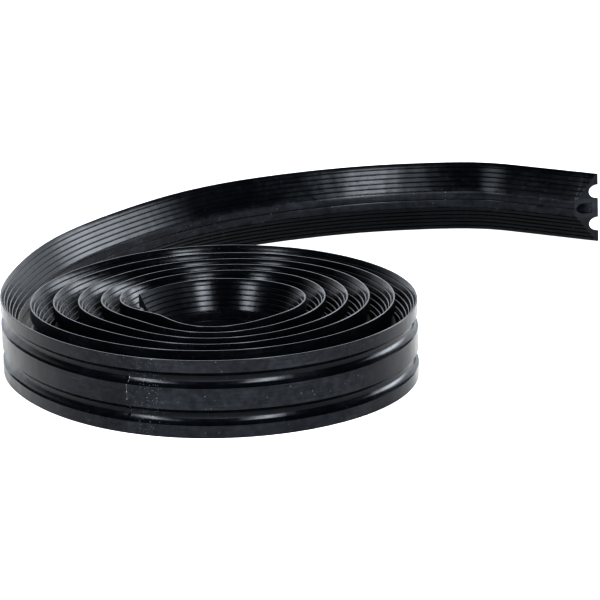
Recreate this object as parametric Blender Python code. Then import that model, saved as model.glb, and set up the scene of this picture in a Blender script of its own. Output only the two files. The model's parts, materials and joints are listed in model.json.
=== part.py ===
"""Three-channel rubber cable protector strip, standing on its edge in a loose flat coil with a free tail.

Metres, +Z up. The strip's flat base faces outwards from the coil and its ribbed crown faces inwards.
The free end runs along +X. Each hinge axis is a vertical line in the base face between two sections.
"""

import math

import bmesh
import bpy
import numpy as np
from mathutils import Vector

OBJECT_NAME = "cable_protector_strip"

# The strip's cross-section. Depth runs from the base face to the crown, height runs across the width.
STRIP_WIDTH = 0.125
STRIP_THICKNESS = 0.0281
WING_TIP_THICKNESS = 0.0026
CROWN_HALF_WIDTH = 0.0156
CROWN_SHOULDER_DEPTH = 0.0266
CROWN_DOME_HALF_WIDTH = 0.0075
SIDE_CHANNEL_OFFSET = 0.0298
SIDE_CHANNEL_HALF_WIDTH = 0.0125
SIDE_CHANNEL_DEPTH = 0.0110
SIDE_CHANNEL_STEPS = 6
CENTRE_CHANNEL_HALF_WIDTH = 0.0096
CENTRE_CHANNEL_FLOOR = 0.0069
CENTRE_CHANNEL_SPRING = 0.0164
CENTRE_CHANNEL_STEPS = 4
SLIT_HALF_WIDTH = 0.0004

# The coil. Radii of the base face at eight compass points a turn, in strip widths, from the inner end.
COMPASS_STEP = 45.0
COIL_RADII = (
    (1.000, 0.940, 0.990, 1.130, 1.280, 1.170, 1.170, 0.840),
    (1.085, 1.250, 1.370, 1.520, 1.530, 1.460, 1.420, 1.170),
    (1.345, 1.500, 1.660, 1.780, 1.820, 1.740, 1.665, 1.460),
    (1.645, 1.780, 1.930, 2.050, 2.100, 2.010, 1.920, 1.740),
    (1.970, 2.100, 2.230, 2.310, 2.420, 2.340, 2.190, 2.080),
    (2.270, 2.420, 2.620, 2.610, 2.700, 2.740, 2.600, 2.410),
    (2.620, 3.420),
)
INNER_END_ANGLE = 23.0
OUTER_TURN_START = 1973.0
OUTER_TURN_SECTION_ANGLE = 30.0
OUTER_TURN_SECTIONS = 6
HALF_TURN = 180.0
COIL_STEP = 15.0
OUTER_TURN_STEP = 10.0
FREE_END_TURN = 30.0

# The tail. Headings in degrees at distances along it, in strip widths, before FREE_END_TURN is added.
TAIL_DISTANCES = (0.0, 1.5, 3.0, 4.5, 6.0, 7.5, 9.0, 10.0, 10.8, 11.6, 12.25, 12.9)
TAIL_HEADINGS = (109.0, 84.5, 72.5, 56.2, 46.5, 26.5, 12.6, 2.2, -7.3, -30.0, -30.0, -30.0)
TAIL_STRAIGHT_FROM = 11.6
TAIL_SECTION_LENGTH = 1.65
TAIL_LENGTH = 12.93
TAIL_CURVED_SECTIONS = 7
TAIL_SECTION_STEPS = 3
TAIL_MARCH_STEPS = 100

# Joints between lengths.
SECTION_GAP = 0.0003
TAIL_RELIEF = math.radians(4.0)
FREE_END_SLANT = math.radians(49.0)
SWEEP_OVERRUN = 0.012
FREE_END_OVERRUN = 0.006
CORNER_MERGE = 1e-6
CUT_REACH = 0.1

RUBBER_COLOUR = (0.028, 0.030, 0.034, 1.0)
RUBBER_ROUGHNESS = 0.46


def clear_scene():
    for obj in list(bpy.data.objects):
        bpy.data.objects.remove(obj)


def natural_spline(knots, values):
    """A smooth curve through the knots that is straight at both ends."""
    x = np.asarray(knots, dtype=float)
    y = np.asarray(values, dtype=float)
    gap = np.diff(x)
    slope = np.diff(y) / gap
    system = np.eye(len(x))
    right = np.zeros(len(x))
    for i in range(1, len(x) - 1):
        system[i, i - 1] = gap[i - 1]
        system[i, i] = 2.0 * (gap[i - 1] + gap[i])
        system[i, i + 1] = gap[i]
        right[i] = 6.0 * (slope[i] - slope[i - 1])
    bend = np.linalg.solve(system, right)

    def value(at):
        i = int(np.clip(np.searchsorted(x, at) - 1, 0, len(gap) - 1))
        before = at - x[i]
        after = x[i + 1] - at
        return (
            (bend[i] * after**3 + bend[i + 1] * before**3) / (6.0 * gap[i])
            + (y[i] / gap[i] - bend[i] * gap[i] / 6.0) * after
            + (y[i + 1] / gap[i] - bend[i + 1] * gap[i] / 6.0) * before
        )

    return value


def coil_path():
    """Position and heading on the coil's base line, at an angle wound from the inner end."""
    radii = [radius for turn in COIL_RADII for radius in turn]
    radius_at = natural_spline([COMPASS_STEP * i for i in range(len(radii))], radii)

    def position(angle):
        compass = math.radians(180.0 - angle + FREE_END_TURN)
        radius = radius_at(angle) * STRIP_WIDTH
        return Vector((radius * math.cos(compass), radius * math.sin(compass)))

    def station(angle):
        ahead = position(angle + 0.25) - position(angle - 0.25)
        return position(angle), math.atan2(ahead.y, ahead.x)

    return station


def tail_path(start):
    """Position and heading on the tail's base line, at a distance from the coil in strip widths."""
    heading_at = natural_spline(TAIL_DISTANCES, TAIL_HEADINGS)

    def heading(distance):
        return math.radians(heading_at(min(distance, TAIL_STRAIGHT_FROM)) + FREE_END_TURN)

    def station(distance):
        place = start.copy()
        march = distance / TAIL_MARCH_STEPS
        for i in range(TAIL_MARCH_STEPS):
            angle = heading((i + 0.5) * march)
            place += Vector((math.cos(angle), math.sin(angle))) * march * STRIP_WIDTH
        return place, heading(distance)

    return station


def half_round(centre):
    """Points of an open channel in the base face, from its higher edge to its lower edge."""
    points = []
    for i in range(SIDE_CHANNEL_STEPS + 1):
        angle = math.pi * i / SIDE_CHANNEL_STEPS
        across = SIDE_CHANNEL_HALF_WIDTH * math.cos(angle)
        points.append((SIDE_CHANNEL_DEPTH * math.sin(angle), centre + across))
    return points


def channel_side(side):
    """Points of one side of the centre channel, from its floor up to the slit."""
    points = [(CENTRE_CHANNEL_FLOOR, side * CENTRE_CHANNEL_HALF_WIDTH)]
    slit_angle = math.acos(SLIT_HALF_WIDTH / CENTRE_CHANNEL_HALF_WIDTH)
    for i in range(CENTRE_CHANNEL_STEPS + 1):
        angle = slit_angle * i / CENTRE_CHANNEL_STEPS
        depth = CENTRE_CHANNEL_SPRING + CENTRE_CHANNEL_HALF_WIDTH * math.sin(angle)
        points.append((depth, side * CENTRE_CHANNEL_HALF_WIDTH * math.cos(angle)))
    return points


def crown_side(side):
    """Points of one side of the crown and wing, from the slit out to the base face."""
    half = STRIP_WIDTH / 2.0
    return [
        (STRIP_THICKNESS, side * SLIT_HALF_WIDTH),
        (STRIP_THICKNESS, side * CROWN_DOME_HALF_WIDTH),
        (CROWN_SHOULDER_DEPTH, side * CROWN_HALF_WIDTH),
        (WING_TIP_THICKNESS, side * half),
        (0.0, side * half),
    ]


def profile_points():
    """The closed outline as (depth, height), with height measured from the strip's centre line."""
    return (
        channel_side(1.0)
        + crown_side(1.0)
        + half_round(SIDE_CHANNEL_OFFSET)
        + half_round(-SIDE_CHANNEL_OFFSET)
        + list(reversed(crown_side(-1.0)))
        + list(reversed(channel_side(-1.0)))
    )


def poly_curve(name, points, cyclic):
    curve = bpy.data.curves.new(name, "CURVE")
    curve.dimensions = "2D" if cyclic else "3D"
    spline = curve.splines.new("POLY")
    spline.points.add(len(points) - 1)
    for point, place in zip(spline.points, points):
        point.co = (*place, 1.0)
    spline.use_cyclic_u = cyclic
    obj = bpy.data.objects.new(name, curve)
    bpy.context.scene.collection.objects.link(obj)
    return obj


def remove_curve(obj):
    curve = obj.data
    bpy.data.objects.remove(obj)
    bpy.data.curves.remove(curve)


def swept_mesh(name, profile, stations, overruns):
    """The profile swept along the stations and past both ends, open at both ends."""
    places = [place for place, _ in stations]
    headings = [heading for _, heading in stations]
    before = Vector((math.cos(headings[0]), math.sin(headings[0]))) * overruns[0]
    after = Vector((math.cos(headings[-1]), math.sin(headings[-1]))) * overruns[1]
    places = [places[0] - before] + places + [places[-1] + after]
    line = [(place.x, place.y, STRIP_WIDTH / 2.0) for place in places]
    path = poly_curve(name + "_path", line, cyclic=False)
    path.data.twist_mode = "Z_UP"
    path.data.bevel_mode = "OBJECT"
    path.data.bevel_object = profile
    graph = bpy.context.evaluated_depsgraph_get()
    mesh = bpy.data.meshes.new_from_object(path.evaluated_get(graph))
    mesh.name = name
    remove_curve(path)
    return mesh


def cut_end(bm, station, direction, lean):
    """Cuts a sweep square to its path at a station, leaning back towards the crown, and closes it."""
    place, heading = station
    ahead = Vector((math.cos(heading), math.sin(heading), 0.0))
    inward = Vector((math.sin(heading), -math.cos(heading), 0.0))
    normal = (ahead * direction * math.cos(lean) + inward * math.sin(lean)).normalized()
    on_plane = Vector((place.x, place.y, 0.0)) - ahead * direction * SECTION_GAP / 2.0
    near = [face for face in bm.faces if (face.calc_center_median().xy - place).length < CUT_REACH]
    edges = {edge for face in near for edge in face.edges}
    verts = {vert for face in near for vert in face.verts}
    bmesh.ops.bisect_plane(
        bm,
        geom=list(verts) + list(edges) + near,
        plane_co=on_plane,
        plane_no=normal,
        clear_outer=True,
    )
    rim = [
        edge
        for edge in bm.edges
        if edge.is_boundary and all(abs((v.co - on_plane).dot(normal)) < CORNER_MERGE for v in edge.verts)
    ]
    bmesh.ops.edgeloop_fill(bm, edges=rim)


def make_section(name, profile, stations, leans, overruns, collection):
    """One length of strip between two stations, with its origin on the hinge axis at its first end."""
    mesh = swept_mesh(name, profile, stations, overruns)
    bm = bmesh.new()
    bm.from_mesh(mesh)
    cut_end(bm, stations[0], -1.0, leans[0])
    cut_end(bm, stations[-1], 1.0, leans[1])
    bmesh.ops.remove_doubles(bm, verts=list(bm.verts), dist=CORNER_MERGE)
    bmesh.ops.recalc_face_normals(bm, faces=list(bm.faces))
    pivot = Vector((stations[0][0].x, stations[0][0].y, 0.0))
    bmesh.ops.translate(bm, verts=list(bm.verts), vec=-pivot)
    bm.to_mesh(mesh)
    bm.free()
    section = bpy.data.objects.new(name, mesh)
    section.location = pivot
    mesh.materials.append(rubber(name))
    collection.objects.link(section)
    return section


def rubber(name):
    material = bpy.data.materials.new(name + "_rubber")
    material.use_nodes = True
    shader = material.node_tree.nodes["Principled BSDF"]
    shader.inputs["Base Color"].default_value = RUBBER_COLOUR
    shader.inputs["Roughness"].default_value = RUBBER_ROUGHNESS
    return material


def stations_between(path, first, last, step):
    count = round((last - first) / step)
    return [path(first + (last - first) * i / count) for i in range(count + 1)]


def wound_coil(path):
    """The turns that stay wound: name and stations of each length, about half a turn long."""
    lengths = []
    first = INNER_END_ANGLE
    last = OUTER_TURN_START % HALF_TURN
    while last <= OUTER_TURN_START:
        if last > first:
            name = f"coil_half_turn_{len(lengths) + 1:02d}"
            lengths.append((name, stations_between(path, first, last, COIL_STEP)))
            first = last
        last += HALF_TURN
    return lengths


def outer_turn(path):
    """The last half turn, which lies against the coil and opens away from it."""
    lengths = []
    for i in range(OUTER_TURN_SECTIONS):
        first = OUTER_TURN_START + i * OUTER_TURN_SECTION_ANGLE
        last = first + OUTER_TURN_SECTION_ANGLE
        name = f"outer_turn_section_{i + 1:02d}"
        lengths.append((name, stations_between(path, first, last, OUTER_TURN_STEP)))
    return lengths


def tail(path):
    """The free tail behind its straight end."""
    lengths = []
    step = TAIL_SECTION_LENGTH / TAIL_SECTION_STEPS
    for i in range(TAIL_CURVED_SECTIONS):
        first = i * TAIL_SECTION_LENGTH
        last = first + TAIL_SECTION_LENGTH
        name = f"tail_section_{i + 1:02d}"
        lengths.append((name, stations_between(path, first, last, step)))
    return lengths


def centre_on_floor(collection):
    """Moves the whole strip so that its box is centred on the origin and stands on the floor."""
    bpy.context.view_layer.update()
    corners = [obj.matrix_world @ v.co for obj in collection.objects for v in obj.data.vertices]
    low = Vector([min(corner[i] for corner in corners) for i in range(3)])
    high = Vector([max(corner[i] for corner in corners) for i in range(3)])
    middle = (low + high) / 2.0
    for obj in collection.objects:
        obj.location -= Vector((middle.x, middle.y, low.z))


def build():
    clear_scene()
    collection = bpy.data.collections.new(OBJECT_NAME)
    bpy.context.scene.collection.children.link(collection)
    profile = poly_curve("profile", [(d, h, 0.0) for d, h in profile_points()], cyclic=True)
    coil = coil_path()
    coil_end = OUTER_TURN_START + OUTER_TURN_SECTIONS * OUTER_TURN_SECTION_ANGLE
    free = tail_path(coil(coil_end)[0])
    square = (0.0, 0.0)
    tail_side = (0.0, TAIL_RELIEF)
    relieved = (TAIL_RELIEF, TAIL_RELIEF)
    overruns = (SWEEP_OVERRUN, SWEEP_OVERRUN)
    *opening, last_opening = outer_turn(coil)
    for name, stations in wound_coil(coil) + opening:
        make_section(name, profile, stations, square, overruns, collection)
    name, stations = last_opening
    make_section(name, profile, stations, tail_side, overruns, collection)
    for name, stations in tail(free):
        make_section(name, profile, stations, relieved, overruns, collection)
    end_from = TAIL_CURVED_SECTIONS * TAIL_SECTION_LENGTH
    end_stations = stations_between(free, end_from, TAIL_LENGTH, TAIL_LENGTH - end_from)
    leans = (TAIL_RELIEF, FREE_END_SLANT)
    end_overruns = (SWEEP_OVERRUN, FREE_END_OVERRUN)
    make_section("free_end_section", profile, end_stations, leans, end_overruns, collection)
    remove_curve(profile)
    centre_on_floor(collection)


build()
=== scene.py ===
"""Looks for the coiled three-channel rubber floor strip: one continuous moulding with a ribbed crown."""
import json
import math

import bmesh
import bpy
import numpy as np
from mathutils import Matrix, Vector


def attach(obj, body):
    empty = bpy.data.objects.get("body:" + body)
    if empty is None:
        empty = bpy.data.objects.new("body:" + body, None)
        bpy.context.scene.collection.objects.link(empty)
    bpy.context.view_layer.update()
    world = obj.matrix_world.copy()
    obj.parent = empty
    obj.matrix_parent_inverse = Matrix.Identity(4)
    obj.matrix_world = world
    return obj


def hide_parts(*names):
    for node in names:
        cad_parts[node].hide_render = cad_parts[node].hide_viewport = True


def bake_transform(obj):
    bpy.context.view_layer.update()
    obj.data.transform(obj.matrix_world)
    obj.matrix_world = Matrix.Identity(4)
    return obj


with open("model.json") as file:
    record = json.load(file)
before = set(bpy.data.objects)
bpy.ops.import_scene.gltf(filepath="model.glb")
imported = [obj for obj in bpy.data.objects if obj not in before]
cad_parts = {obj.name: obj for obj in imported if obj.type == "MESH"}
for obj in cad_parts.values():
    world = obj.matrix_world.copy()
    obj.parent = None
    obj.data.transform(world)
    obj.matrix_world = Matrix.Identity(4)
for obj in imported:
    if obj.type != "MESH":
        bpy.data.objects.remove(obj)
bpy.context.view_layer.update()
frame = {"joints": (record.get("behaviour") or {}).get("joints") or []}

# The strip's cross-section, in metres. Depth runs from the flat base to the crown. A fall, reach, inset
# or share is a part of the size that it is used with.
STRIP_WIDTH = 0.125
HALF_WIDTH = STRIP_WIDTH / 2.0
CROWN_DEPTH = 0.0281
SHOULDER_HALF_WIDTH = 0.0156
SHOULDER_DEPTH = 0.0266
CROWN_POWER = 3.0
CROWN_STATIONS = (0.005, 0.010, 0.0122)
WING_TIP_DEPTH = 0.0026
WING_TIP_ROUND = 0.0006
WING_TIP_FALL = 0.4
WING_TIP_CROWN_INSET = 0.2
WING_TIP_BASE_INSET = 0.15
GROOVE_FIRST = 0.0156
GROOVE_PITCH = 0.0078
GROOVES_A_SIDE = 6
GROOVE_HALF_MOUTH = 0.0012
GROOVE_HALF_FLOOR = 0.0002
GROOVE_DEPTH = 0.0015
SIDE_CHANNEL_OFFSET = 0.0298
SIDE_CHANNEL_HALF_WIDTH = 0.0125
SIDE_CHANNEL_DEPTH = 0.0110
SIDE_CHANNEL_STEPS = 12
CENTRE_HALF_WIDTH = 0.0096
CENTRE_FLOOR = 0.0069
CENTRE_FLOOR_SHARE = 0.9
CENTRE_CORNER = 0.001
CENTRE_SPRING = 0.0164
CENTRE_STEPS = 7
SLIT_HALF_WIDTH = 0.0005
SLIT_LIP = 0.0005
SLIT_LIP_FALL = 0.3
SLIT_LIP_REACH = 0.25

# The route of the base face, the same one that the solids follow. Radii, distances and section lengths
# are in strip widths. Angles are in degrees as the camera sees the coil, and VIEW_TURN turns them into
# the frame's. The coil's angles wind up from COIL_RADII's first radius, and the tail's are headings.
# The radii were read off from edges projected through the fitted camera. TAIL_HEADINGS, apart from
# its straight end, holds the rounded results of a least-squares fit to the tail's edge.
COMPASS_STEP = 45.0
COIL_RADII = (
    (1.000, 0.940, 0.990, 1.130, 1.280, 1.170, 1.170, 0.840),
    (1.085, 1.250, 1.370, 1.520, 1.530, 1.460, 1.420, 1.170),
    (1.345, 1.500, 1.660, 1.780, 1.820, 1.740, 1.665, 1.460),
    (1.645, 1.780, 1.930, 2.050, 2.100, 2.010, 1.920, 1.740),
    (1.970, 2.100, 2.230, 2.310, 2.420, 2.340, 2.190, 2.080),
    (2.270, 2.420, 2.620, 2.610, 2.700, 2.740, 2.600, 2.410),
    (2.620, 3.420),
)
INNER_END_ANGLE = 23.0
HALF_TURN = 180.0
HALF_TURNS = 11
OUTER_TURN_START = 1973.0
OUTER_SECTION_ANGLE = 30.0
OUTER_SECTIONS = 6
COIL_END = OUTER_TURN_START + OUTER_SECTIONS * OUTER_SECTION_ANGLE
TAIL_DISTANCES = (0.0, 1.5, 3.0, 4.5, 6.0, 7.5, 9.0, 10.0, 10.8, 11.6, 12.25, 12.9)
TAIL_HEADINGS = (109.0, 84.5, 72.5, 56.2, 46.5, 26.5, 12.6, 2.2, -7.3, -30.0, -30.0, -30.0)
TAIL_STRAIGHT_FROM = 11.6
TAIL_SECTION = 1.65
TAIL_SECTIONS = 7
TAIL_LENGTH = 12.93
VIEW_TURN = 30.0
FREE_END_SLANT = math.radians(49.0)
FREE_END_LEAD = 0.032  # metres
TRACK_STEP = 0.001  # metres
COIL_TRACK_STEP = 0.1

# How finely the strip is drawn, and how its lengths meet.
RING_SPACING = 0.009
MEETING_RING = 0.0005
BLEND_INSET = 0.008
CREASE = math.radians(28.0)

# The strip's texture map gives the length along it and the distance across it from its centre line. On
# the base the distance across is raised by BASE_SIDE, which tells the base from the crown.
BASE_SIDE = 1.0

# The moulded joint on the outer turn: a raised line of flash.
FLASH_SEAM_ANGLE = 2093.0
FLASH_HEIGHT = 0.0002
FLASH_HALF_WIDTH = 0.0006

# The rubber's colours, which are linear, and its surface. A pair is where an effect starts and where it is
# full: in its noise, or as a distance from the centre of a speck or of the flash.
MOULDED_BLACK = (0.0005, 0.0008, 0.0013, 1.0)
MOULDED_BLOOM = (0.0112, 0.0124, 0.0146, 1.0)
MOULDED_ROUGHNESS = 0.18
MOULDED_GRAIN = 0.25
CUT_BLACK = (0.002, 0.0023, 0.0028, 1.0)
CUT_BLOOM = (0.012, 0.013, 0.015, 1.0)
CUT_ROUGHNESS = 0.5
CUT_GRAIN = 0.5
SPECULAR_LEVEL = 0.12
BLOOM_RANGE = (0.02, 0.24)
SCUFF_BRIGHTNESS = 1.8
SCUFF_AMOUNT = 0.6
SCUFF_RANGE = (0.52, 0.72)
SCUFF_PATCHES = (0.42, 0.60)
DUST_SPECK = (0.16, 0.06)
DUST_RARITY = 0.72
# Pale specks beside the joint: partly grit, partly painted glints.
GRIT_AND_GLINT_SPECK = 0.24
GRIT_AND_GLINT_RARITY = 0.62
FLASH_FADE = (1.2, 0.6)
FLASH_DASHES = (0.50, 0.62)
DUST_COLOUR = (0.07, 0.072, 0.076, 1.0)
GRIT_AND_GLINT_COLOUR = (0.10, 0.10, 0.105, 1.0)
FLASH_COLOUR = (0.16, 0.16, 0.16, 1.0)
SHEEN_RANGE = (0.1, 0.4)
SMOOTHER_SPOTS = 0.04
ROUGHER_SPOTS = 0.10
NOISE_ROUGHNESS = 0.6
WAVE_STRENGTH = 0.5
WAVE_HEIGHT = 0.0012
LUMP_SHARE = 0.5
LUMP_HEIGHT = 0.0004
GRAIN_HEIGHT = 0.00008

# Where the rubber is worn, dull and gritty, in metres along the strip; the pale specks of grit beside the
# joint are partly painted glints. Wear is full at 1.
WORN_FROM = 6.2
WORN_FADE = 0.1
WORN_STRETCH = 0.45
CLEAN_BASE_WEAR = 0.6
INNER_TURNS_WEAR = 0.35
RIBS_WEAR = 0.25
CROWN_WEAR_REACH = 1.2
DULL_UNTIL = 0.06
DULL_FADE_END = 0.12
DULL_ROUGHNESS = 0.3
GRIT_AND_GLINT_REACH = 0.035
GRIT_AND_GLINT_FADE = 0.025
GRIT_AND_GLINT_AMOUNT = 0.7

FLOOR_ROUGHNESS = 0.9
FLOOR_SPECULAR_LEVEL = 0.1
FLOOR_TONES = ((0.93, 0.885, 0.835, 1.0), (0.96, 0.915, 0.865, 1.0))

# The light panels: how many degrees to the right of the camera and up each one stands, its distance from
# the coil, its width and height in metres, and the brightness of its face.
PANELS = {
    "softbox_left": (-48.0, 26.0, 3.5, (1.05, 2.5), 33.0),
    "softbox_right": (24.5, 26.0, 6.5, (2.3, 5.8), 36.0),
    "low_front": (-8.0, 9.0, 6.5, (9.0, 1.6), 6.0),
    "side_panel": (114.0, 14.0, 6.0, (4.0, 3.0), 16.0),
}
PANEL_COLOUR = (0.94, 1.0, 1.07)
PANEL_SHEETS = 4
SHEET_SHRINK = 0.22
SHEET_SPACING = 0.01
LIGHT_AIM_HEIGHT = 0.06
ROOM_FRONT = (0.02, 0.02, 0.022, 1.0)
ROOM_BACK = (1.9, 2.0, 2.12, 1.0)
ROOM_BACK_FADE = (0.3, 0.7)
FLOOR_SIZE = 40.0

# The camera, fitted to the photo's edges: how far to the right of the coil's centre it stands and how far
# back, as it looks, and how high above the floor, in metres. The lens is in millimetres.
CAMERA_RIGHT = 0.1499
CAMERA_BACK = 5.8567
CAMERA_HEIGHT = 1.8539
CAMERA_TURN = math.radians(30.0)
CAMERA_PITCH = math.radians(16.49)
CAMERA_ROLL = math.radians(-1.95)
CAMERA_LENS = 228.3
CAMERA_CLIP_END = 100.0


def natural_spline(knots, values):
    """A smooth curve through the knots that is straight at both ends."""
    x = np.asarray(knots, dtype=float)
    y = np.asarray(values, dtype=float)
    gap = np.diff(x)
    slope = np.diff(y) / gap
    system = np.eye(len(x))
    right = np.zeros(len(x))
    for i in range(1, len(x) - 1):
        system[i, i - 1] = gap[i - 1]
        system[i, i] = 2.0 * (gap[i - 1] + gap[i])
        system[i, i + 1] = gap[i]
        right[i] = 6.0 * (slope[i] - slope[i - 1])
    bend = np.linalg.solve(system, right)

    def value(at):
        at = np.asarray(at, dtype=float)
        i = np.clip(np.searchsorted(x, at) - 1, 0, len(gap) - 1)
        before = at - x[i]
        after = x[i + 1] - at
        return (
            (bend[i] * after**3 + bend[i + 1] * before**3) / (6.0 * gap[i])
            + (y[i] / gap[i] - bend[i] * gap[i] / 6.0) * after
            + (y[i + 1] / gap[i] - bend[i + 1] * gap[i] / 6.0) * before
        )

    return value


class Track:
    """The base line as close points, from the inner end to the free end."""

    def __init__(self):
        coil, coil_headings = self.wind_coil()
        tail, tail_headings = self.lead_tail(coil[-1], coil_headings[-1])
        self.points = np.concatenate([coil, tail])
        self.headings = np.concatenate([coil_headings, tail_headings])
        self.lengths = np.concatenate([self.coil_lengths, self.tail_lengths])
        self.length = self.lengths[-1]
        hinge = next(joint for joint in frame["joints"] if joint["name"] == "outer_turn_bend_01")
        start = self.place(self.at_angle(OUTER_TURN_START))
        self.centre = np.array(hinge["pos_m"][:2]) - start
        self.points += self.centre

    def wind_coil(self):
        """Points and headings of the coil about its centre, with the length wound up to each of them."""
        radii = [radius for turn in COIL_RADII for radius in turn]
        radius_at = natural_spline([COMPASS_STEP * i for i in range(len(radii))], radii)
        self.angles = np.arange(INNER_END_ANGLE, COIL_END + COIL_TRACK_STEP / 2.0, COIL_TRACK_STEP)
        compass = np.radians(HALF_TURN - self.angles + VIEW_TURN)
        radius = radius_at(self.angles) * STRIP_WIDTH
        points = np.stack([radius * np.cos(compass), radius * np.sin(compass)], axis=1)
        steps = np.hypot(*np.diff(points, axis=0).T)
        self.coil_lengths = np.concatenate([[0.0], np.cumsum(steps)])
        self.coil_length = self.coil_lengths[-1]
        slopes = np.gradient(points, axis=0)
        return points, np.unwrap(np.arctan2(slopes[:, 1], slopes[:, 0]))

    def lead_tail(self, start, start_heading):
        """Points and headings of the tail beyond the coil's end."""
        heading_at = natural_spline(TAIL_DISTANCES, TAIL_HEADINGS)
        count = round(TAIL_LENGTH * STRIP_WIDTH / TRACK_STEP)
        along = np.linspace(0.0, TAIL_LENGTH, count + 1)
        degrees = heading_at(np.minimum(along, TAIL_STRAIGHT_FROM)) + VIEW_TURN
        whole_turns = round((start_heading - math.radians(degrees[0])) / math.tau)
        headings = np.radians(degrees) + whole_turns * math.tau
        middle = (headings[1:] + headings[:-1]) / 2.0
        step = (along[1] - along[0]) * STRIP_WIDTH
        moves = np.stack([np.cos(middle), np.sin(middle)], axis=1) * step
        self.tail_lengths = self.coil_length + along[1:] * STRIP_WIDTH
        return start + np.cumsum(moves, axis=0), headings[1:]

    def at_angle(self, angle):
        """Length along the strip at an angle wound from the inner end."""
        return float(np.interp(angle, self.angles, self.coil_lengths))

    def at_tail(self, distance):
        """Length along the strip at a distance down the tail, in strip widths."""
        return float(self.coil_length + distance * STRIP_WIDTH)

    def place(self, length):
        x = np.interp(length, self.lengths, self.points[:, 0])
        y = np.interp(length, self.lengths, self.points[:, 1])
        return np.array([x, y])

    def heading(self, length):
        return float(np.interp(length, self.lengths, self.headings))


def crown_depth(across):
    """Depth of the crown side at a distance from the centre line, between the grooves."""
    if across < SHOULDER_HALF_WIDTH:
        fall = (across / SHOULDER_HALF_WIDTH) ** CROWN_POWER
        return CROWN_DEPTH - (CROWN_DEPTH - SHOULDER_DEPTH) * fall
    share = (across - SHOULDER_HALF_WIDTH) / (HALF_WIDTH - SHOULDER_HALF_WIDTH)
    return SHOULDER_DEPTH + (WING_TIP_DEPTH - SHOULDER_DEPTH) * share


def crown_half():
    """Points from the slit out to the wing tip and round to the base, as (depth, across)."""
    lip = SLIT_HALF_WIDTH + SLIT_LIP
    points = [
        (CROWN_DEPTH - SLIT_LIP, SLIT_HALF_WIDTH),
        (CROWN_DEPTH - SLIT_LIP * SLIT_LIP_FALL, SLIT_HALF_WIDTH + SLIT_LIP * SLIT_LIP_REACH),
        (crown_depth(lip), lip),
    ]
    points += [(crown_depth(across), across) for across in CROWN_STATIONS]
    for i in range(GROOVES_A_SIDE):
        centre = GROOVE_FIRST + i * GROOVE_PITCH
        outer, inner = centre - GROOVE_HALF_MOUTH, centre - GROOVE_HALF_FLOOR
        points.append((crown_depth(outer), outer))
        points.append((crown_depth(inner) - GROOVE_DEPTH, inner))
        inner, outer = centre + GROOVE_HALF_FLOOR, centre + GROOVE_HALF_MOUTH
        points.append((crown_depth(inner) - GROOVE_DEPTH, inner))
        points.append((crown_depth(outer), outer))
    tip = HALF_WIDTH - WING_TIP_ROUND
    points += [
        (crown_depth(tip), tip),
        (WING_TIP_DEPTH - WING_TIP_ROUND * WING_TIP_FALL, HALF_WIDTH - WING_TIP_ROUND * WING_TIP_CROWN_INSET),
        (WING_TIP_DEPTH / 2.0, HALF_WIDTH),
        (WING_TIP_ROUND / 2.0, HALF_WIDTH - WING_TIP_ROUND * WING_TIP_BASE_INSET),
        (0.0, tip),
    ]
    return points


def side_channel(centre):
    """Points of an open half-round channel, from its higher lip to its lower one."""
    points = []
    for i in range(SIDE_CHANNEL_STEPS + 1):
        angle = math.pi * i / SIDE_CHANNEL_STEPS
        across = SIDE_CHANNEL_HALF_WIDTH * math.cos(angle)
        points.append((SIDE_CHANNEL_DEPTH * math.sin(angle), centre + across))
    return points


def centre_half():
    """Points of the centre channel from the middle of its floor up to the slit."""
    points = [
        (CENTRE_FLOOR, CENTRE_HALF_WIDTH * CENTRE_FLOOR_SHARE),
        (CENTRE_FLOOR + CENTRE_CORNER, CENTRE_HALF_WIDTH),
    ]
    last = math.acos(SLIT_HALF_WIDTH / CENTRE_HALF_WIDTH)
    for i in range(CENTRE_STEPS + 1):
        angle = last * i / CENTRE_STEPS
        depth = CENTRE_SPRING + CENTRE_HALF_WIDTH * math.sin(angle)
        points.append((depth, CENTRE_HALF_WIDTH * math.cos(angle)))
    return points


def mirrored(points):
    return [(depth, -across) for depth, across in reversed(points)]


def strip_profile():
    """The closed outline of the strip as an array of (depth, across)."""
    upper = centre_half() + crown_half()
    lower = mirrored(upper)
    base = side_channel(SIDE_CHANNEL_OFFSET) + side_channel(-SIDE_CHANNEL_OFFSET)
    return np.array(upper + base + lower)


def base_faces():
    """Which sides of the outline belong to the base: wing tip to wing tip by way of both channels."""
    first = len(centre_half()) + len(crown_half()) - 1
    return range(first, first + 2 * (SIDE_CHANNEL_STEPS + 1) + 1)


def outward_normals(profile):
    """Unit normals of the outline, pointing out of the rubber."""
    along = np.roll(profile, -1, axis=0) - np.roll(profile, 1, axis=0)
    normals = np.stack([along[:, 1], -along[:, 0]], axis=1)
    normals /= np.linalg.norm(normals, axis=1)[:, None]
    depth, across = profile.T
    doubled_area = np.sum(depth * np.roll(across, -1) - across * np.roll(depth, -1))
    return normals if doubled_area > 0.0 else -normals


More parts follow.
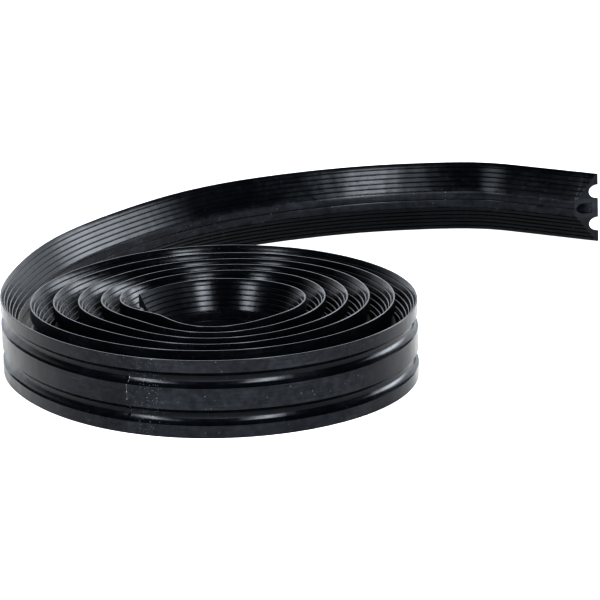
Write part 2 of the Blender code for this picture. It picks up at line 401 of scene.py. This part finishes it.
class StripMaker:
    """Draws lengths of the strip along the track."""

    def __init__(self, track, rubber, cut_rubber):
        self.track = track
        self.profile = strip_profile()
        self.normals = outward_normals(self.profile)
        self.base_faces = base_faces()
        self.rubber = rubber
        self.cut_rubber = cut_rubber

    def ring(self, length, swell=0.0, slant=0.0):
        """The outline stood on the track, pushed out by swell and slanted back towards the crown."""
        outline = self.profile + self.normals * swell
        heading = self.track.heading(length)
        ahead = np.array([math.cos(heading), math.sin(heading)])
        inward = np.array([math.sin(heading), -math.cos(heading)])
        plan = (
            self.track.place(length)
            + outline[:, :1] * inward
            - outline[:, :1] * math.tan(slant) * ahead
        )
        return np.column_stack([plan, outline[:, 1] + HALF_WIDTH])

    def stops(self, first, last):
        """Ring positions between two lengths, with a close ring beside each end and three at the flash."""
        count = max(2, round((last - first) / RING_SPACING))
        inner = np.linspace(first, last, count + 1)[1:-1]
        ends = [first, first + MEETING_RING, last - MEETING_RING, last]
        seam = self.track.at_angle(FLASH_SEAM_ANGLE)
        flash = []
        if first < seam < last:
            flash = [seam - FLASH_HALF_WIDTH, seam, seam + FLASH_HALF_WIDTH]
        return sorted(set(list(inner) + ends + flash))

    def swell(self, length):
        """How far the outline stands out at a length: only the flash of the moulded joint does."""
        seam = self.track.at_angle(FLASH_SEAM_ANGLE)
        return FLASH_HEIGHT if abs(length - seam) < FLASH_HALF_WIDTH / 2.0 else 0.0

    def sections(self, first, last, slant):
        """The lengths along the strip that a piece is drawn at, and the outline at each of them."""
        lengths = self.stops(first, last)
        if slant:
            lengths = [length for length in lengths if length < last - FREE_END_LEAD]
        rings = [self.ring(length, self.swell(length)) for length in lengths]
        if slant:
            rings.append(self.ring(last, slant=slant))
            lengths.append(last)
        return lengths, rings

    def walls(self, rings):
        """Faces between neighbouring outlines."""
        around = len(self.profile)
        faces = []
        for i in range(len(rings) - 1):
            here, ahead = i * around, (i + 1) * around
            for j in range(around):
                k = (j + 1) % around
                faces.append((here + j, here + k, ahead + k, ahead + j))
        return faces

    def map_surface(self, mesh, lengths, wall_count):
        """Lays the strip's length and width over the walls, and its thickness over the cut faces."""
        around = len(self.profile)
        uv = mesh.uv_layers.new(name="strip")
        for polygon in mesh.polygons:
            is_wall = polygon.index < wall_count
            side = BASE_SIDE if is_wall and polygon.index % around in self.base_faces else 0.0
            for loop in polygon.loop_indices:
                i, j = divmod(mesh.loops[loop].vertex_index, around)
                depth, across = self.profile[j]
                along = lengths[i] + (0.0 if is_wall else depth)
                uv.data[loop].uv = (along, across + side)

    def finish_surface(self, mesh, wall_count):
        """Gives the walls and the cut faces their rubber, and shades them smooth up to the creases."""
        mesh.materials.append(self.rubber)
        mesh.materials.append(self.cut_rubber)
        for polygon in mesh.polygons:
            polygon.material_index = 0 if polygon.index < wall_count else 1
            polygon.use_smooth = True
        bm = bmesh.new()
        bm.from_mesh(mesh)
        bmesh.ops.recalc_face_normals(bm, faces=list(bm.faces))
        bm.to_mesh(mesh)
        bm.free()
        mesh.set_sharp_from_angle(angle=CREASE)

    def piece(self, name, first, last, close_first=False, close_last=False, slant=0.0):
        """A length of strip, with a cut face where it is closed."""
        lengths, rings = self.sections(first, last, slant)
        faces = self.walls(rings)
        wall_count = len(faces)
        around = len(self.profile)
        if close_first:
            faces.append(tuple(range(around)))
        if close_last:
            last_ring = (len(rings) - 1) * around
            faces.append(tuple(last_ring + j for j in reversed(range(around))))
        mesh = bpy.data.meshes.new(name)
        mesh.from_pydata(np.concatenate(rings).tolist(), [], faces)
        self.map_surface(mesh, lengths, wall_count)
        self.finish_surface(mesh, wall_count)
        obj = bpy.data.objects.new(name, mesh)
        bpy.context.scene.collection.objects.link(obj)
        return obj


def root_end(track):
    """Where the wound coil's last piece ends: half a section before the first hinge."""
    return track.at_angle(OUTER_TURN_START - OUTER_SECTION_ANGLE / 2.0)


def build_coil(track, maker):
    """The wound coil: half turns that stay together."""
    first_edge = track.at_angle(INNER_END_ANGLE)
    for i in range(HALF_TURNS):
        node = f"coil_half_turn_{i + 1:02d}"
        angle = OUTER_TURN_START - (HALF_TURNS - 1 - i) * HALF_TURN
        edge = min(track.at_angle(angle), root_end(track))
        piece = maker.piece(f"{node}_rubber", first_edge, edge, close_first=i == 0)
        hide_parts(node)
        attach(piece, "wound_coil")
        first_edge = edge


def build_chain(track, maker):
    """The lengths beyond the coil, each from mid-section to mid-section, so that one hinge lies within each.
    """
    middles = [root_end(track)]
    for i in range(OUTER_SECTIONS):
        middle = OUTER_TURN_START + (i + 0.5) * OUTER_SECTION_ANGLE
        middles.append(track.at_angle(middle))
    for i in range(TAIL_SECTIONS):
        middles.append(track.at_tail((i + 0.5) * TAIL_SECTION))
    middles.append(track.at_tail((TAIL_SECTIONS * TAIL_SECTION + TAIL_LENGTH) / 2.0))
    chain = ["wound_coil"]
    chain += [f"outer_turn_section_{i + 1:02d}" for i in range(OUTER_SECTIONS)]
    chain += [f"tail_section_{i + 1:02d}" for i in range(TAIL_SECTIONS)]
    chain.append("free_end_section")
    for i in range(len(chain) - 1):
        near, far = chain[i], chain[i + 1]
        piece = maker.piece(f"{far}_rubber", middles[i], middles[i + 1])
        start = track.place(middles[i] + BLEND_INSET)
        end = track.place(middles[i + 1] - BLEND_INSET)
        if far != "free_end_section":
            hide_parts(far)
        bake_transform(piece)
    tip = maker.piece(
        "free_end_tip_rubber", middles[-1], track.length, close_last=True, slant=FREE_END_SLANT
    )
    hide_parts("free_end_section")
    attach(tip, "free_end_section")


def build_strip(track, rubber, cut_rubber):
    maker = StripMaker(track, rubber, cut_rubber)
    build_coil(track, maker)
    build_chain(track, maker)


class Shading:
    """Builds a material's nodes."""

    def __init__(self, name):
        self.material = bpy.data.materials.new(name)
        self.material.use_nodes = True
        self.tree = self.material.node_tree
        self.shader = self.tree.nodes["Principled BSDF"]

    def set(self, name, value):
        self.shader.inputs[name].default_value = value

    def drive(self, name, source):
        self.tree.links.new(source, self.shader.inputs[name])

    def add(self, kind, values=None, links=None, **settings):
        made = self.tree.nodes.new(kind)
        for name, value in settings.items():
            setattr(made, name, value)
        for name, value in (values or {}).items():
            made.inputs[name].default_value = value
        for name, source in (links or {}).items():
            self.tree.links.new(source, made.inputs[name])
        return made

    def noise(self, vector, along, across, detail):
        """Noise with so many cells a metre along the strip and across it."""
        scaled = self.add("ShaderNodeMapping", {"Scale": (along, across, 1.0)}, {"Vector": vector})
        made = self.add(
            "ShaderNodeTexNoise",
            {"Scale": 1.0, "Detail": detail, "Roughness": NOISE_ROUGHNESS},
            {"Vector": scaled.outputs["Vector"]},
        )
        return made.outputs["Fac"]

    def cells(self, vector, fineness):
        """Scattered cells: the distance from the nearest centre, and a random value for its cell."""
        made = self.add("ShaderNodeTexVoronoi", {"Scale": fineness}, {"Vector": vector})
        return made.outputs["Distance"], made.outputs["Color"]

    def remap(self, value, start, end, first=0.0, last=1.0):
        """A value that goes from first to last while the source goes from start to end."""
        made = self.add(
            "ShaderNodeMapRange",
            {"From Min": start, "From Max": end, "To Min": first, "To Max": last},
            {"Value": value},
        )
        return made.outputs["Result"]

    def math(self, operation, first, second):
        made = self.add("ShaderNodeMath", operation=operation)
        for socket, value in zip(made.inputs, (first, second)):
            if isinstance(value, float):
                socket.default_value = value
            else:
                self.tree.links.new(value, socket)
        return made.outputs[0]

    def product(self, first, *others):
        for other in others:
            first = self.math("MULTIPLY", first, other)
        return first

    def distance(self, value, centre):
        return self.math("ABSOLUTE", self.math("SUBTRACT", value, centre), 0.0)

    def mix(self, share, first, second):
        made = self.add("ShaderNodeMix", {"B": second}, {"Factor": share}, data_type="RGBA")
        if isinstance(first, tuple):
            made.inputs["A"].default_value = first
        else:
            self.tree.links.new(first, made.inputs["A"])
        return made.outputs["Result"]

    def bump(self, height, strength, distance, normal=None):
        links = {"Height": height}
        if normal:
            links["Normal"] = normal
        made = self.add("ShaderNodeBump", {"Strength": strength, "Distance": distance}, links)
        return made.outputs["Normal"]


def wear(look, along, across, seam):
    """How worn the rubber is: most on the base flats before the joint and on the smooth crown."""
    from_channel = look.distance(look.distance(across, BASE_SIDE), SIDE_CHANNEL_OFFSET)
    on_flat = look.math("GREATER_THAN", from_channel, SIDE_CHANNEL_HALF_WIDTH)
    before = look.remap(along, seam - WORN_STRETCH, seam - WORN_STRETCH + WORN_FADE, CLEAN_BASE_WEAR, 1.0)
    after = look.remap(along, seam, seam + FLASH_HALF_WIDTH, 1.0, CLEAN_BASE_WEAR)
    on_base = look.product(look.math("GREATER_THAN", across, BASE_SIDE / 2.0), on_flat, before, after)
    crown_edge = GROOVE_FIRST * CROWN_WEAR_REACH
    on_crown = look.remap(look.distance(across, 0.0), GROOVE_FIRST, crown_edge, 1.0, 0.0)
    smooth = look.remap(look.math("MAXIMUM", on_base, on_crown), 0.0, 1.0, RIBS_WEAR, 1.0)
    outside = look.remap(along, WORN_FROM, WORN_FROM + WORN_FADE, INNER_TURNS_WEAR, 1.0)
    return look.product(smooth, outside)


def bloomed(look, strip, worn, patches, mottle, black, bloom):
    """The rubber's colour, with a pale bloom in patches and long scuffs across them."""
    flow = look.noise(strip, along=55.0, across=90.0, detail=5.0)
    marks = look.remap(look.product(patches, flow, mottle), *BLOOM_RANGE)
    tint = look.mix(look.product(marks, worn), black, bloom)
    scuffs = look.noise(strip, along=9.0, across=420.0, detail=5.0)
    streaks = look.product(
        look.remap(scuffs, *SCUFF_RANGE, 0.0, SCUFF_AMOUNT), look.remap(patches, *SCUFF_PATCHES), worn
    )
    pale = tuple(SCUFF_BRIGHTNESS * channel for channel in bloom[:3]) + (1.0,)
    return look.mix(streaks, tint, pale)


def dusted(look, strip, worn, tint):
    """Scattered specks of dust."""
    distance, random = look.cells(strip, fineness=150.0)
    close = look.remap(distance, *DUST_SPECK)
    rare = look.math("GREATER_THAN", random, DUST_RARITY)
    return look.mix(look.product(close, rare, worn), tint, DUST_COLOUR)


def with_seam(look, strip, along, across, seam, tint):
    """Pale specks along one side of the moulded joint, partly grit and partly painted glints, and its flash,
    in pale dashes between the channels.
    """
    # The pale specks here are partly real grit and partly painted glints.
    distance, random = look.cells(strip, fineness=420.0)
    grain = look.math("LESS_THAN", distance, GRIT_AND_GLINT_SPECK)
    rare = look.math("GREATER_THAN", random, GRIT_AND_GLINT_RARITY)
    from_patch = look.distance(along, seam - GRIT_AND_GLINT_REACH)
    near = look.remap(from_patch, GRIT_AND_GLINT_REACH, GRIT_AND_GLINT_REACH - GRIT_AND_GLINT_FADE, 0.0, GRIT_AND_GLINT_AMOUNT)
    tint = look.mix(look.product(grain, rare, near), tint, GRIT_AND_GLINT_COLOUR)
    fade_start, fade_end = (FLASH_HALF_WIDTH * share for share in FLASH_FADE)
    on_flash = look.remap(look.distance(along, seam), fade_start, fade_end)
    dashes = look.remap(look.noise(strip, along=1.0, across=300.0, detail=2.0), *FLASH_DASHES)
    between = look.math("LESS_THAN", look.distance(across, BASE_SIDE), SIDE_CHANNEL_OFFSET)
    return look.mix(look.product(on_flash, dashes, between), tint, FLASH_COLOUR)


def rubber_material(name, black, bloom, roughness, grain, seam):
    """Moulded black rubber, with its colour, its sheen and its surface in that order."""
    look = Shading(name)
    look.set("Specular IOR Level", SPECULAR_LEVEL)
    strip = look.add("ShaderNodeUVMap", uv_map="strip").outputs["UV"]
    place = look.add("ShaderNodeSeparateXYZ", links={"Vector": strip}).outputs
    along, across = place["X"], place["Y"]
    patches = look.noise(strip, along=12.0, across=14.0, detail=3.0)
    mottle = look.noise(strip, along=95.0, across=95.0, detail=6.0)
    fine = look.noise(strip, along=1400.0, across=1400.0, detail=3.0)

    worn = wear(look, along, across, seam)
    tint = bloomed(look, strip, worn, patches, mottle, black, bloom)
    tint = dusted(look, strip, worn, tint)
    look.drive("Base Color", with_seam(look, strip, along, across, seam, tint))

    smoothest, roughest = roughness - SMOOTHER_SPOTS, roughness + ROUGHER_SPOTS
    uneven = look.remap(look.product(mottle, patches), *SHEEN_RANGE, smoothest, roughest)
    dull = look.remap(along, DULL_FADE_END, DULL_UNTIL, 0.0, DULL_ROUGHNESS)
    look.drive("Roughness", look.math("ADD", uneven, dull))

    swells = look.noise(strip, along=26.0, across=7.0, detail=1.0)
    waves = look.bump(swells, WAVE_STRENGTH, WAVE_HEIGHT)
    lumps = look.bump(mottle, grain * LUMP_SHARE, LUMP_HEIGHT, waves)
    look.drive("Normal", look.bump(fine, grain, GRAIN_HEIGHT, lumps))
    return look.material


def floor_material():
    look = Shading("pale_floor")
    look.set("Roughness", FLOOR_ROUGHNESS)
    look.set("Specular IOR Level", FLOOR_SPECULAR_LEVEL)
    place = look.add("ShaderNodeTexCoord").outputs["Object"]
    tones = look.noise(place, along=0.7, across=0.7, detail=2.0)
    look.drive("Base Color", look.mix(tones, *FLOOR_TONES))
    return look.material


def direction(degrees_right, degrees_up):
    """A unit vector from the coil, measured from the side that the camera is on."""
    turn = CAMERA_TURN + math.radians(degrees_right)
    up = math.radians(degrees_up)
    return Vector((math.sin(turn) * math.cos(up), -math.cos(turn) * math.cos(up), math.sin(up)))


def make_camera(centre):
    right = Vector((math.cos(CAMERA_TURN), math.sin(CAMERA_TURN), 0.0))
    away = Vector((-math.sin(CAMERA_TURN), math.cos(CAMERA_TURN), 0.0))
    up = Vector((0.0, 0.0, 1.0))
    forward = away * math.cos(CAMERA_PITCH) - up * math.sin(CAMERA_PITCH)
    level_up = away * math.sin(CAMERA_PITCH) + up * math.cos(CAMERA_PITCH)
    rolled_right = right * math.cos(CAMERA_ROLL) + level_up * math.sin(CAMERA_ROLL)
    rolled_up = level_up * math.cos(CAMERA_ROLL) - right * math.sin(CAMERA_ROLL)
    data = bpy.data.cameras.new("camera")
    data.lens = CAMERA_LENS
    data.clip_end = CAMERA_CLIP_END
    camera = bpy.data.objects.new("camera", data)
    place = Vector((centre[0], centre[1], CAMERA_HEIGHT)) + right * CAMERA_RIGHT - away * CAMERA_BACK
    axes = Matrix((rolled_right, rolled_up, -forward)).transposed().to_4x4()
    camera.matrix_world = Matrix.Translation(place) @ axes
    bpy.context.scene.collection.objects.link(camera)
    bpy.context.scene.camera = camera


def soft_panel(name, centre, towards, distance, size, radiance):
    """A panel that faces the coil, made of sheets inside each other so that its edges fade."""
    for i in range(PANEL_SHEETS):
        share = 1.0 - i * SHEET_SHRINK
        data = bpy.data.lights.new(f"{name}_{i + 1}", "AREA")
        data.shape = "RECTANGLE"
        data.size = size[0] * share
        data.size_y = size[1] * (1.0 + share) / 2.0
        data.energy = radiance / PANEL_SHEETS * math.pi * data.size * data.size_y
        data.color = PANEL_COLOUR
        light = bpy.data.objects.new(data.name, data)
        light.location = centre + towards * (distance + SHEET_SPACING * i)
        light.rotation_euler = towards.to_track_quat("Z", "Y").to_euler()
        light.visible_camera = False
        bpy.context.scene.collection.objects.link(light)


def light_room():
    """The room is dark in front of the coil and pale behind it."""
    world = bpy.data.worlds.new("studio")
    bpy.context.scene.world = world
    world.use_nodes = True
    tree = world.node_tree
    coordinates = tree.nodes.new("ShaderNodeTexCoord")
    behind = tree.nodes.new("ShaderNodeVectorMath")
    behind.operation = "DOT_PRODUCT"
    behind.inputs[1].default_value = direction(180.0, 0.0)
    share = tree.nodes.new("ShaderNodeMapRange")
    share.inputs["From Min"].default_value, share.inputs["From Max"].default_value = ROOM_BACK_FADE
    ramp = tree.nodes.new("ShaderNodeValToRGB")
    ramp.color_ramp.elements[0].color = ROOM_FRONT
    ramp.color_ramp.elements[1].color = ROOM_BACK
    tree.links.new(coordinates.outputs["Generated"], behind.inputs[0])
    tree.links.new(behind.outputs["Value"], share.inputs["Value"])
    tree.links.new(share.outputs["Result"], ramp.inputs["Fac"])
    tree.links.new(ramp.outputs["Color"], tree.nodes["Background"].inputs["Color"])


def light_scene(centre):
    bpy.context.scene.view_settings.view_transform = "Standard"
    bpy.context.scene.view_settings.look = "High Contrast"
    aim = Vector((centre[0], centre[1], LIGHT_AIM_HEIGHT))
    for name, (degrees_right, degrees_up, distance, size, radiance) in PANELS.items():
        soft_panel(name, aim, direction(degrees_right, degrees_up), distance, size, radiance)
    light_room()


def make_floor(centre):
    bpy.ops.mesh.primitive_plane_add(size=FLOOR_SIZE, location=(centre[0], centre[1], 0.0))
    floor = bpy.context.object
    floor.name = "floor"
    floor.data.materials.append(floor_material())


track = Track()
make_camera(track.centre)
make_floor(track.centre)
light_scene(track.centre)
seam = track.at_angle(FLASH_SEAM_ANGLE)
rubber = rubber_material(
    "moulded_rubber", MOULDED_BLACK, MOULDED_BLOOM, MOULDED_ROUGHNESS, MOULDED_GRAIN, seam
)
cut_rubber = rubber_material("cut_rubber", CUT_BLACK, CUT_BLOOM, CUT_ROUGHNESS, CUT_GRAIN, seam)
build_strip(track, rubber, cut_rubber)
